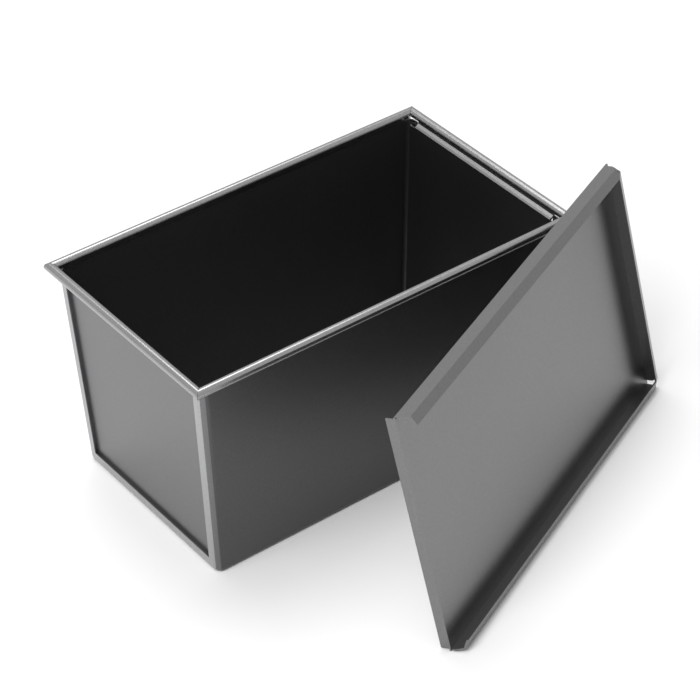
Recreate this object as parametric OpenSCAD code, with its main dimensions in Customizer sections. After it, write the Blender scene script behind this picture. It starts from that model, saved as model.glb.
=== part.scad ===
// Pullman loaf pan with its lid leaning on one corner of the rim.
// Millimetres. X runs along the pan, Z is up, and the origin is the middle of the underside.

/* [Pan] */
// Length between the middles of the two end rolls
rim_l = 200.7; // [150:0.1:360]
// Width between the middles of the two side rolls
rim_w = 112.6; // [80:0.1:150]
// Height of the middle of the roll above the underside
rim_h = 107.7; // [60:0.1:140]
// How far each end leans out, per mm of height
end_lean = 0.054; // [0.01:0.001:0.1]
// How far each side leans out, per mm of height
side_lean = 0.033; // [0.01:0.001:0.08]
// Radius of the upright corners
corner_r = 3.6; // [2.5:0.1:6]
// Radius of the bends along the underside
bottom_r = 2; // [1.2:0.1:3]

/* [Sheet] */
// Thickness of the steel sheet
sheet = 0.8; // [0.6:0.05:1]
// Outside diameter of the rolled rim
roll_d = 4.5; // [3.8:0.1:6]
// Gap between the wire and the roll around it
wire_gap = 0.1; // [0.05:0.05:0.3]

/* [End seams] */
// Width of the upright strips of the seam
seam_w = 6.3; // [4.5:0.1:10]
// Height of the bottom strip of the seam
seam_h = 5.9; // [3:0.1:10]
// Distance from the middle of the end roll in to the face of the seam
seam_inset = 1.8; // [1.2:0.1:3]

/* [Lid] */
// Clearance between the lid and the rim on each side
lid_gap = 0.3; // [0.2:0.1:1]
// Height of the folded flange
flange_h = 6.6; // [5:0.1:12]
// Width of the return lip
lip_w = 4.7; // [3:0.1:8]
// How far the return lip stands past the flange
lip_rise = 1.7; // [1:0.1:3]
// Height of the turned edge at the open end of the lid
pull_h = 4; // [2.5:0.1:8]
// Space left between two flanges at a corner
corner_gap = 2; // [1:0.1:6]

/* [How the lid leans] */
// Angle of the lid above the table
lean_angle = 77.2; // [60:0.1:85]
// Heading of the lid's long edge, from the pan's length
heading = 23.9; // [10:0.1:40]
// Distance along the lid from its open end to the rim corner that it leans on
touch_along = 169.6; // [120:0.1:190]
// Clearance between the lid and the rim corner
touch_gap = 0.3; // [0.2:0.05:0.6]

/* [Hidden] */
$fn = 48;
roll_r = roll_d / 2;
wire_r = roll_r - sheet - wire_gap;
side_inset = roll_r - sheet;
foot_l = rim_l - 2 * (seam_inset + end_lean * rim_h);
foot_w = rim_w - 2 * (side_inset + side_lean * rim_h);
top_l = foot_l + 2 * end_lean * rim_h;
top_w = foot_w + 2 * side_lean * rim_h;
end_angle = atan(end_lean);
side_angle = atan(side_lean);
eps = 0.01;
// The panel lies behind the strip and one fold of its own sheet
panel_inset = 2 * sheet;
seat_gap = 0.1;
// The seams end just under the curve of the end roll
seam_top = rim_h - 1.5;
// Length between the two end rolls, less a hair, for the top of each wall
inner_l = rim_l - roll_d - 0.1;
wall_lap = 0.5;
// Heights, below the middle of the roll, between which the end panel steps out to its roll
step_low = 3.6;
step_high = 2.2;
// The step fits between the two upright strips
step_w = foot_w - 2 * seam_w + 2 * side_lean * (rim_h - 8) - 2 * seat_gap;
lid_l = rim_l + roll_d;
lid_w = rim_w + roll_d + 2 * (sheet + lid_gap);

// One level of a box with round upright corners, as a thin plate
module level(l, w, z, r)
    for (x = [-1, 1], y = [-1, 1])
        translate([x * (l / 2 - r), y * (w / 2 - r), z])
            cylinder(h = eps, r = r, $fn = 32);

// Tapered box with round upright corners and bent lower edges, in from the outside by d
module tapered_box(d, top)
    hull() {
        for (a = [0, 30, 60, 90])
            level(foot_l - 2 * d - 2 * (bottom_r - d) * (1 - sin(a))
                      + 2 * end_lean * (d + (bottom_r - d) * (1 - cos(a))),
                  foot_w - 2 * d - 2 * (bottom_r - d) * (1 - sin(a))
                      + 2 * side_lean * (d + (bottom_r - d) * (1 - cos(a))),
                  d + (bottom_r - d) * (1 - cos(a)),
                  corner_r - d - (bottom_r - d) * (1 - sin(a)) + 0.2);
        level(foot_l - 2 * d + 2 * end_lean * top, foot_w - 2 * d + 2 * side_lean * top,
              top, corner_r - d + 0.2);
    }

// Points of an arc of radius r from angle a to angle b
function arc(r, a, b, n = 16) = [for (i = [0:n]) let (t = a + (b - a) * i / n) [r * cos(t), r * sin(t)]];

// Section of the rolled rim: a curl that starts at the wall, with the wall at its left
module roll_section()
    polygon(concat(arc(roll_r, 180, -150, 24), arc(roll_r - sheet, -150, 180, 24)));

// Rolled rim of a side that is l long, cut square to the mitre at both ends
module rolled_edge(l)
    intersection() {
        rotate([90, 0, 90])
            translate([0, 0, -l / 2 - roll_d])
                linear_extrude(l + 2 * roll_d)
                    roll_section();
        translate([0, 0, -roll_d])
            linear_extrude(2 * roll_d)
                polygon([[-l / 2 - roll_d + 0.1, roll_d], [l / 2 + roll_d - 0.1, roll_d],
                         [l / 2 - roll_d - 0.1, -roll_d], [-l / 2 + roll_d + 0.1, -roll_d]]);
    }

// Outline of one end of the pan in the plane of the seam: y across, z up
module end_outline(side, low, top)
    polygon([[-foot_w / 2 + side - side_lean * low, low], [foot_w / 2 - side + side_lean * low, low],
             [foot_w / 2 - side + side_lean * top, top], [-foot_w / 2 + side - side_lean * top, top]]);

// Stands a flat outline up as a plate of thickness t, d behind the face of the right-hand seam
module end_plate(d, t)
    translate([foot_l / 2, 0, 0])
        rotate([0, end_angle, 0])
            translate([-d - t, 0, 0])
                rotate([90, 0, 90])
                    linear_extrude(t)
                        children();

// Bottom and long walls in one sheet, with the seam strips at both ends and the side rolls
module body_wrap()
    color([0.2, 0.2, 0.21]) {
        difference() {
            tapered_box(0, seam_top);
            tapered_box(sheet, seam_top + 1);
            for (s = [0, 1])
                mirror([s, 0, 0])
                    end_plate(-5, 20)
                        end_outline(seam_w, seam_h, seam_top + 20);
        }
        for (s = [0, 1])
            mirror([0, s, 0]) {
                // The top of the wall, up to the roll
                translate([0, top_w / 2, rim_h])
                    rotate([-side_angle, 0, 0])
                        translate([-inner_l / 2, -sheet, seam_top - rim_h - wall_lap])
                            cube([inner_l, sheet, rim_h - seam_top + wall_lap + 0.3]);
                translate([0, rim_w / 2, rim_h])
                    rolled_edge(rim_l);
            }
    }

// One end panel, its folded margin inside the seam and its roll, at the right-hand end
module end_panel()
    color([0.26, 0.26, 0.27]) {
        end_plate(panel_inset, sheet)
            end_outline(sheet + corner_r / 2 + seat_gap, sheet + bottom_r / 2 + seat_gap, rim_h - step_low);
        end_plate(sheet, sheet + eps)
            difference() {
                end_outline(corner_r + 0.2 + seat_gap, bottom_r + seat_gap, rim_h - 8);
                end_outline(seam_w, seam_h, rim_h);
            }
        // The top of the panel steps out to its roll
        rotate([90, 0, 0])
            translate([0, 0, -step_w / 2])
                linear_extrude(step_w)
                    polygon([[top_l / 2 - panel_inset - sheet - end_lean * step_low, rim_h - step_low - 0.5],
                             [top_l / 2 - panel_inset - end_lean * step_low, rim_h - step_low - 0.5],
                             [rim_l / 2 - roll_r + sheet, rim_h - step_high],
                             [rim_l / 2 - roll_r + sheet, rim_h + 0.2],
                             [rim_l / 2 - roll_r + 0.05, rim_h + 0.2],
                             [rim_l / 2 - roll_r + 0.05, rim_h - step_high + 0.4],
                             [top_l / 2 - panel_inset - sheet - end_lean * step_low, rim_h - step_low + 0.5]]);
        translate([rim_l / 2, 0, rim_h])
            rotate([0, 0, -90])
                rolled_edge(rim_w);
    }

module end_panel_right()
    end_panel();

module end_panel_left()
    mirror([1, 0, 0])
        end_panel();

// The wire hoop that the rim is rolled round
module rim_wire()
    color([0.6, 0.6, 0.62])
        translate([0, 0, rim_h]) {
            for (s = [-1, 1]) {
                translate([0, s * rim_w / 2, 0])
                    rotate([0, 90, 0])
                        cylinder(h = rim_l, r = wire_r, center = true);
                translate([s * rim_l / 2, 0, 0])
                    rotate([90, 0, 0])
                        cylinder(h = rim_w, r = wire_r, center = true);
                for (e = [-1, 1])
                    translate([s * rim_l / 2, e * rim_w / 2, 0])
                        sphere(r = wire_r);
            }
        }

// Section of a flange and its lip, from the fold: x inwards, y away from the panel
module flange_section()
    polygon([[0, 0], [0, flange_h], [lip_w, flange_h + lip_rise], [lip_w, flange_h + lip_rise - sheet],
             [sheet, flange_h - sheet * 0.9], [sheet, 0]]);

// The lid as if it lay on the table: x from the open end, y across, z towards its underside
module lid_flat() {
    cube([lid_l, lid_w, sheet]);
    // The two long flanges
    for (s = [0, 1])
        translate([0, s * lid_w, 0])
            mirror([0, s, 0])
                intersection() {
                    translate([0.5, 0, 0])
                        rotate([90, 0, 90])
                            linear_extrude(lid_l - corner_gap - 0.5)
                                flange_section();
                    translate([0, lid_w / 2, 0])
                        rotate([90, 0, 0])
                            linear_extrude(lid_w)
                                polygon([[0.5, -1], [0.5, flange_h * 0.4], [4, flange_h + lip_rise + 1],
                                         [lid_l - corner_gap - 3, flange_h + lip_rise + 1],
                                         [lid_l - corner_gap, flange_h * 0.6], [lid_l - corner_gap, -1]]);
                }
    // The flange at the closed end
    translate([lid_l, 0, 0])
        intersection() {
            translate([0, lid_w - corner_gap, 0])
                rotate([90, 0, 0])
                    linear_extrude(lid_w - 2 * corner_gap)
                        mirror([1, 0])
                            flange_section();
            rotate([90, 0, 90])
                translate([0, 0, -lid_w / 2])
                    linear_extrude(lid_w)
                        polygon([[corner_gap, -1], [corner_gap, flange_h * 0.6],
                                 [corner_gap + 3, flange_h + lip_rise + 1],
                                 [lid_w - corner_gap - 3, flange_h + lip_rise + 1],
                                 [lid_w - corner_gap, flange_h * 0.6], [lid_w - corner_gap, -1]]);
        }
    // The edge of the open end, turned the other way
    translate([0, 1, -pull_h])
        cube([sheet, lid_w - 2, pull_h + sheet / 2]);
}

// The outer face of the lid passes the rim corner at touch_gap, with its lower edge on the table
corner_reach = roll_r * norm([(cos(heading) + sin(heading)) * sin(lean_angle), cos(lean_angle)]);
behind = corner_reach + touch_gap;
touch_run = (rim_h + behind * cos(lean_angle)) / sin(lean_angle);
corner = [rim_l / 2, -rim_w / 2];
along = [cos(heading), sin(heading)];
toward = [-sin(heading), cos(heading)];
lid_at = corner - along * touch_along - toward * (touch_run * cos(lean_angle) + behind * sin(lean_angle));

// The open end's turned edge reaches behind the outer face, so the lid is set up from its lower fold
module lid()
    color([0.3, 0.3, 0.31])
        translate([lid_at[0], lid_at[1], 0])
            rotate([0, 0, heading])
                rotate([lean_angle, 0, 0])
                    lid_flat();

body_wrap();
end_panel_left();
end_panel_right();
rim_wire();
lid();
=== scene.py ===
"""Dark coated pullman loaf pan with its lid leaning on the rim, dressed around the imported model."""
import math

import bpy
from mathutils import Matrix, Vector

bl_info = {
    "name": "Loaf pan dresser",
    "version": (1, 0, 0),
    "blender": (4, 5, 0),
    "location": "View3D > Sidebar > Loaf pan",
    "description": "Finishes, light and camera for a lidded loaf pan",
    "category": "Object",
}

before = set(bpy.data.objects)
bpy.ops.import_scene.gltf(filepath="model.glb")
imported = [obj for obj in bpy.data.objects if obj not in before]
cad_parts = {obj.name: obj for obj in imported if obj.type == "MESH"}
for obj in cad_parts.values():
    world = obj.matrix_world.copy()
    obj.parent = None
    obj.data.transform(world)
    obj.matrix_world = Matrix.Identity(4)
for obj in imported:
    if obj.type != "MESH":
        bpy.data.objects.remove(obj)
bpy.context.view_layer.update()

IMAGE_WIDTH = 700
SENSOR_WIDTH = 36.0

# Where the painted shade, painted light and painted highlight in the coat start: slopes of the walls, half
# sizes at the foot within the thickness of the sheet, and the height at which the rim starts, both in
# metres
SIDE_LEAN = 0.033
HALF_WIDTH = 0.0509
END_LEAN = 0.054
HALF_LENGTH = 0.0923
RIM_HEIGHT = 0.1051

# Brightness of a coat in the dark and in the light of its grain
DARK_GRAIN = 0.86
LIGHT_GRAIN = 1.14
# How much the cloudy sheen and the grain add to the roughness
CLOUD_ROUGHNESS = 0.05
GRAIN_ROUGHNESS = 0.03
# Scale of the sheen, and the detail, depth in metres and strength of the grain
CLOUD_SCALE = 18.0
GRAIN_DETAIL = 3.0
GRAIN_RELIEF = 0.00008
RELIEF_STRENGTH = 0.12

# Drawn wire: its two tones, the scale of its marks, and its roughness with what the marks add
WIRE_DARK = (0.45, 0.45, 0.46)
WIRE_LIGHT = (0.6, 0.6, 0.61)
WIRE_SCALE = 900.0
WIRE_ROUGHNESS = 0.3
WIRE_SPREAD = 0.1

# The floor lies a hair below the pan, so that the two faces don't fight
FLOOR_SIZE = 8
FLOOR_DROP = 0.0002
FLOOR_ROUGHNESS = 0.9

# Place and size in metres and power in watts of each soft light, and the point that they face
LIGHTS = {
    "key": ((-0.9, -0.3, 1.3), 0.9, 17),
    "top": ((0.2, 0.5, 1.5), 1.0, 12),
}
LIGHT_TARGET = (0, 0, 0.05)

# Strength of the white surround as a light, and what it gains for other kinds of ray
SURROUND_LIGHT = 0.45
SURROUND_GAINS = {"Is Camera Ray": 0.55, "Is Glossy Ray": 0.35, "Is Transmission Ray": 0.55}

# Colour sockets of a Mix node, which share their names with those of other kinds of value
MIX_FACTOR = 0
MIX_COLORS = (6, 7)
MIX_RESULT = 2


class PanSettings(bpy.types.PropertyGroup):
    inside_color: bpy.props.FloatVectorProperty(
        name="Inside coat", description="Coat inside the pan", subtype="COLOR",
        size=3, default=(0.17, 0.17, 0.175), min=0, max=1)
    # Painted shade: the outside of the long walls gets a darker coat colour than the rest of the pan, for
    # the shade it stands in
    side_shade_color: bpy.props.FloatVectorProperty(
        name="Side coat", description="Coat outside the long walls", subtype="COLOR",
        size=3, default=(0.095, 0.095, 0.098), min=0, max=1)
    # Painted light: the outside of the two ends gets a lighter coat colour, for the light that falls on
    # them
    end_lit_color: bpy.props.FloatVectorProperty(
        name="End coat", description="Coat outside the two ends", subtype="COLOR",
        size=3, default=(0.38, 0.38, 0.385), min=0, max=1)
    # Painted highlight: the rolled rim gets a lighter coat colour, for the highlights along it; its
    # roughness below is its real satin
    rim_color: bpy.props.FloatVectorProperty(
        name="Rim coat", description="Coat of the rolled rim", subtype="COLOR",
        size=3, default=(0.34, 0.34, 0.345), min=0, max=1)
    rim_roughness: bpy.props.FloatProperty(
        name="Rim roughness", description="How satin the rolled rim is", default=0.22, min=0.1, max=0.8)
    lid_color: bpy.props.FloatVectorProperty(
        name="Lid coat", description="Coat of the lid", subtype="COLOR",
        size=3, default=(0.2, 0.2, 0.203), min=0, max=1)
    coat_roughness: bpy.props.FloatProperty(
        name="Coat roughness", description="How satin the non-stick coat is",
        default=0.34, min=0.1, max=0.8)
    grain_size: bpy.props.FloatProperty(
        name="Grain size", description="Size of the coat's fine grain", default=0.0011,
        min=0.0003, max=0.005, unit="LENGTH")


class StageSettings(bpy.types.PropertyGroup):
    floor_color: bpy.props.FloatVectorProperty(
        name="Floor", description="Colour of the floor", subtype="COLOR",
        size=3, default=(0.9, 0.9, 0.9), min=0, max=1)
    camera_place: bpy.props.FloatVectorProperty(
        name="Camera place", description="Where the camera stands", subtype="TRANSLATION",
        size=3, default=(-0.564744, -0.778935, 0.791733), unit="LENGTH")
    camera_azimuth: bpy.props.FloatProperty(
        name="Azimuth", description="Heading of the camera from +Y towards +X", subtype="ANGLE",
        default=math.radians(36.877))
    camera_elevation: bpy.props.FloatProperty(
        name="Elevation", description="How far the camera looks down", subtype="ANGLE",
        default=math.radians(37.719))
    camera_roll: bpy.props.FloatProperty(
        name="Roll", description="Turn of the camera about its line of sight", subtype="ANGLE",
        default=math.radians(-0.973))
    focal_pixels: bpy.props.FloatProperty(
        name="Focal length", description="Focal length in pixels of the picture", default=2681.9)


class Val:
    """A socket with arithmetic, so that shader maths reads as an expression."""

    def __init__(self, tree, socket):
        self.tree = tree
        self.socket = socket

    def _math(self, operation, a, b):
        made = self.tree.nodes.new("ShaderNodeMath")
        made.operation = operation
        for socket, value in zip(made.inputs, (a, b)):
            if isinstance(value, Val):
                self.tree.links.new(value.socket, socket)
            else:
                socket.default_value = value
        return Val(self.tree, made.outputs[0])

    def __add__(self, other):
        return self._math("ADD", self, other)

    def __radd__(self, other):
        return self._math("ADD", other, self)

    def __sub__(self, other):
        return self._math("SUBTRACT", self, other)

    def __rmul__(self, other):
        return self._math("MULTIPLY", other, self)

    def size(self):
        """The value without its sign."""
        return self._math("ABSOLUTE", self, 0.0)

    def over(self, limit):
        """1 where the value is over the limit, 0 elsewhere."""
        return self._math("GREATER_THAN", self, limit)


class Shader:
    """A new material with its Principled shader."""

    def __init__(self, name):
        self.material = bpy.data.materials.new(name)
        self.material.use_nodes = True
        self.tree = self.material.node_tree
        self.surface = self.tree.nodes["Principled BSDF"]

    def node(self, kind, settings=None, **values):
        made = self.tree.nodes.new(kind)
        for name, value in (settings or {}).items():
            setattr(made, name, value)
        for name, value in values.items():
            self.put(made.inputs[name.replace("_", " ")], value)
        return made

    def put(self, socket, value):
        if isinstance(value, Val):
            self.tree.links.new(value.socket, socket)
        elif isinstance(value, bpy.types.NodeSocket):
            self.tree.links.new(value, socket)
        else:
            socket.default_value = value

    def noise(self, scale, detail=2.0):
        where = self.node("ShaderNodeTexCoord").outputs["Object"]
        made = self.node("ShaderNodeTexNoise", Vector=where, Scale=scale, Detail=detail)
        return Val(self.tree, made.outputs["Fac"])

    def mix_color(self, factor, first, second):
        made = self.node("ShaderNodeMix", {"data_type": "RGBA"})
        self.put(made.inputs[MIX_FACTOR], factor)
        for place, color in zip(MIX_COLORS, (first, second)):
            self.put(made.inputs[place], color if isinstance(color, bpy.types.NodeSocket) else (*color, 1))
        return made.outputs[MIX_RESULT]

    def place(self):
        """The three object coordinates, in metres."""
        where = self.node("ShaderNodeTexCoord").outputs["Object"]
        parts = self.node("ShaderNodeSeparateXYZ", Vector=where)
        return [Val(self.tree, socket) for socket in parts.outputs]


class Coat(Shader):
    """Satin non-stick coat on steel: fine grain in colour and relief, cloudy sheen."""

    def __init__(self, name, grain_size):
        super().__init__(name)
        self.grain = self.noise(1 / grain_size, GRAIN_DETAIL)
        self.cloud = self.noise(CLOUD_SCALE)

    def finish(self, dark, light, roughness):
        """Lays a dark and a light tone in the grain, each a colour or a socket."""
        self.put(self.surface.inputs["Base Color"], self.mix_color(self.grain, dark, light))
        self.surface.inputs["Metallic"].default_value = 1.0
        self.put(self.surface.inputs["Roughness"], roughness)
        bump = self.node("ShaderNodeBump", Strength=RELIEF_STRENGTH, Distance=GRAIN_RELIEF,
                         Height=self.grain)
        self.put(self.surface.inputs["Normal"], bump.outputs["Normal"])
        return self.material

    def satin(self, roughness):
        """Roughness with the sheen and the grain in it."""
        return roughness - GRAIN_ROUGHNESS + CLOUD_ROUGHNESS * self.cloud + GRAIN_ROUGHNESS * self.grain


def scaled(color, scale):
    """A colour made darker or lighter, no further than white."""
    return tuple(min(1.0, part * scale) for part in color)


def pan_coat_with_painted_light(look):
    """Coat of the pan, toned by where it is: inside, painted shade on the long walls outside, painted
    light on the ends outside and a painted highlight on the rolled rim.
    """
    coat = Coat("pan_coat_with_painted_light", look.grain_size)
    along, across, height = coat.place()
    # Mask of the painted shade outside the long walls
    on_shaded_side = (across.size() - SIDE_LEAN * height).over(HALF_WIDTH)
    # Mask of the painted light outside the ends
    on_lit_end = (along.size() - END_LEAN * height).over(HALF_LENGTH)
    # Mask of the painted highlight on the rim, which also sets the rim's real roughness
    on_rim = height.over(RIM_HEIGHT)

    def tone(scale):
        walls = coat.mix_color(on_shaded_side, scaled(look.inside_color, scale), scaled(look.side_shade_color, scale))
        ends = coat.mix_color(on_lit_end, walls, scaled(look.end_lit_color, scale))
        return coat.mix_color(on_rim, ends, scaled(look.rim_color, scale))

    rim_change = (look.rim_roughness - look.coat_roughness) * on_rim
    return coat.finish(tone(DARK_GRAIN), tone(LIGHT_GRAIN), coat.satin(look.coat_roughness) + rim_change)


def lid_coat(look):
    """The same coat on the lid, in one tone."""
    coat = Coat("lid_coat", look.grain_size)
    dark, light = (scaled(look.lid_color, scale) for scale in (DARK_GRAIN, LIGHT_GRAIN))
    return coat.finish(dark, light, coat.satin(look.coat_roughness))


def wire_material():
    """Drawn steel wire."""
    shader = Shader("drawn_wire")
    marks = shader.noise(WIRE_SCALE)
    shader.put(shader.surface.inputs["Base Color"], shader.mix_color(marks, WIRE_DARK, WIRE_LIGHT))
    shader.surface.inputs["Metallic"].default_value = 1.0
    shader.put(shader.surface.inputs["Roughness"], WIRE_ROUGHNESS + WIRE_SPREAD * marks)
    return shader.material


def dress(node, material):
    """Gives a CAD node its one material."""
    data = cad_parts[node].data
    data.materials.clear()
    data.materials.append(material)


class LOAFPAN_OT_pan(bpy.types.Operator):
    """Finish the pan, with painted shade and light in its coat: the body, its end panels and the wire in
    its rim
    """
    bl_idname = "loafpan.pan"
    bl_label = "Pan"

    def execute(self, context):
        coat = pan_coat_with_painted_light(context.scene.loaf_pan)
        for node in ("body_wrap", "end_panel_left", "end_panel_right"):
            dress(node, coat)
        dress("rim_wire", wire_material())
        return {"FINISHED"}


class LOAFPAN_OT_lid(bpy.types.Operator):
    """Finish the folded lid"""
    bl_idname = "loafpan.lid"
    bl_label = "Lid"

    def execute(self, context):
        dress("lid", lid_coat(context.scene.loaf_pan))
        return {"FINISHED"}


def lay_floor(color):
    """Pale floor that the pan stands on."""
    bpy.ops.mesh.primitive_plane_add(size=FLOOR_SIZE, location=(0, 0, -FLOOR_DROP))
    floor = bpy.context.object
    floor.name = "floor"
    shader = Shader("floor_paint")
    shader.surface.inputs["Base Color"].default_value = (*color, 1)
    shader.surface.inputs["Roughness"].default_value = FLOOR_ROUGHNESS
    floor.data.materials.append(shader.material)


def soft_light(name, place, size, watts):
    """Square soft light that faces the pan."""
    data = bpy.data.lights.new(name, "AREA")
    data.shape = "SQUARE"
    data.size = size
    data.energy = watts
    lamp = bpy.data.objects.new(name, data)
    lamp.location = place
    lamp.rotation_euler = (Vector(LIGHT_TARGET) - Vector(place)).to_track_quat("-Z", "Y").to_euler()
    bpy.context.collection.objects.link(lamp)


def white_world():
    """White to the camera, softer in reflections and as a light."""
    world = bpy.data.worlds.new("studio")
    world.use_nodes = True
    tree = world.node_tree
    background = tree.nodes["Background"]
    rays = tree.nodes.new("ShaderNodeLightPath")
    strength = SURROUND_LIGHT
    for kind, gain in SURROUND_GAINS.items():
        strength = strength + gain * Val(tree, rays.outputs[kind])
    tree.links.new(strength.socket, background.inputs["Strength"])
    background.inputs["Color"].default_value = (1, 1, 1, 1)
    bpy.context.scene.world = world


def place_camera(look):
    """Camera with the photograph's place, aim and lens."""
    azimuth, elevation, roll = look.camera_azimuth, look.camera_elevation, look.camera_roll
    ahead = Vector((math.sin(azimuth) * math.cos(elevation),
                    math.cos(azimuth) * math.cos(elevation), -math.sin(elevation)))
    right = Vector((math.cos(azimuth), -math.sin(azimuth), 0))
    up = right.cross(ahead)
    turned_right = right * math.cos(roll) + up * math.sin(roll)
    turned_up = up * math.cos(roll) - right * math.sin(roll)
    data = bpy.data.cameras.new("camera")
    data.sensor_width = SENSOR_WIDTH
    data.sensor_fit = "HORIZONTAL"
    data.lens = SENSOR_WIDTH * look.focal_pixels / IMAGE_WIDTH
    camera = bpy.data.objects.new("camera", data)
    bpy.context.collection.objects.link(camera)
    turn = Matrix((turned_right, turned_up, -ahead)).transposed().to_4x4()
    camera.matrix_world = Matrix.Translation(Vector(look.camera_place)) @ turn
    bpy.context.scene.camera = camera


class LOAFPAN_OT_stage(bpy.types.Operator):
    """Set up the pale floor, the soft lights, the white surround and the camera"""
    bl_idname = "loafpan.stage"
    bl_label = "Stage"

    def execute(self, context):
        look = context.scene.loaf_stage
        lay_floor(look.floor_color)
        white_world()
        for name, (place, size, watts) in LIGHTS.items():
            soft_light(name, place, size, watts)
        place_camera(look)
        context.scene.view_settings.view_transform = "Standard"
        return {"FINISHED"}


class LOAFPAN_PT_panel(bpy.types.Panel):
    """Buttons for the stage and the pieces, and their settings"""
    bl_idname = "LOAFPAN_PT_panel"
    bl_label = "Loaf pan"
    bl_space_type = "VIEW_3D"
    bl_region_type = "UI"
    bl_category = "Loaf pan"

    def draw(self, context):
        for step in STEPS:
            self.layout.operator(step.bl_idname)
        for look in (context.scene.loaf_pan, context.scene.loaf_stage):
            for name in type(look).__annotations__:
                self.layout.prop(look, name)


STEPS = (LOAFPAN_OT_stage, LOAFPAN_OT_pan, LOAFPAN_OT_lid)
CLASSES = (PanSettings, StageSettings, *STEPS, LOAFPAN_PT_panel)


def register():
    for item in CLASSES:
        bpy.utils.register_class(item)
    bpy.types.Scene.loaf_pan = bpy.props.PointerProperty(type=PanSettings)
    bpy.types.Scene.loaf_stage = bpy.props.PointerProperty(type=StageSettings)


def unregister():
    del bpy.types.Scene.loaf_pan
    del bpy.types.Scene.loaf_stage
    for item in reversed(CLASSES):
        bpy.utils.unregister_class(item)


def main():
    register()
    bpy.ops.loafpan.stage()
    bpy.ops.loafpan.pan()
    bpy.ops.loafpan.lid()


if __name__ == "__main__":
    main()
